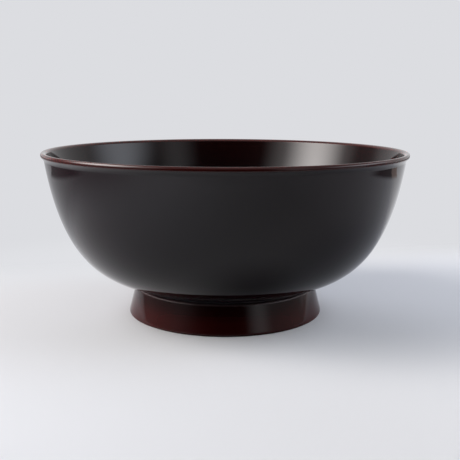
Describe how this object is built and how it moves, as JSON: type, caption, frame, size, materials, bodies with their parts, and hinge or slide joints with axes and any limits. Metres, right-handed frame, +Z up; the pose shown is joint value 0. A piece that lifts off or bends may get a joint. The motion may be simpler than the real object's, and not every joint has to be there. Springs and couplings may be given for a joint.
{
  "type": "bowl",
  "caption": "Round lacquered bowl with a beaded lip, a smooth curved wall and a flared foot ring, for soup, rice or side dishes.",
  "frame": {"origin": "centre of the ring that the bowl stands on, on its turning axis", "axes": "+Z up along the turning axis; the bowl is round, so X and Y have no front of their own"},
  "size_m": [0.127, 0.127, 0.0576],
  "materials": {
    "turned_wood": "turned hardwood, sealed",
    "inner_lacquer": "dark red-brown lacquer, mirror gloss",
    "lip_lacquer": "thin red-brown lacquer, mirror gloss",
    "outer_lacquer": "near-black lacquer, mirror gloss",
    "foot_lacquer": "thin red-brown lacquer, mirror gloss",
    "base_lacquer": "near-black lacquer, satin gloss"
  },
  "bodies": {
    "root": {"cup_core": "turned_wood", "foot_ring": "turned_wood", "inner_lacquer": "inner_lacquer", "lip_lacquer": "lip_lacquer", "outer_lacquer": "outer_lacquer", "foot_lacquer": "foot_lacquer", "base_lacquer": "base_lacquer"}
  },
  "joints": []
}
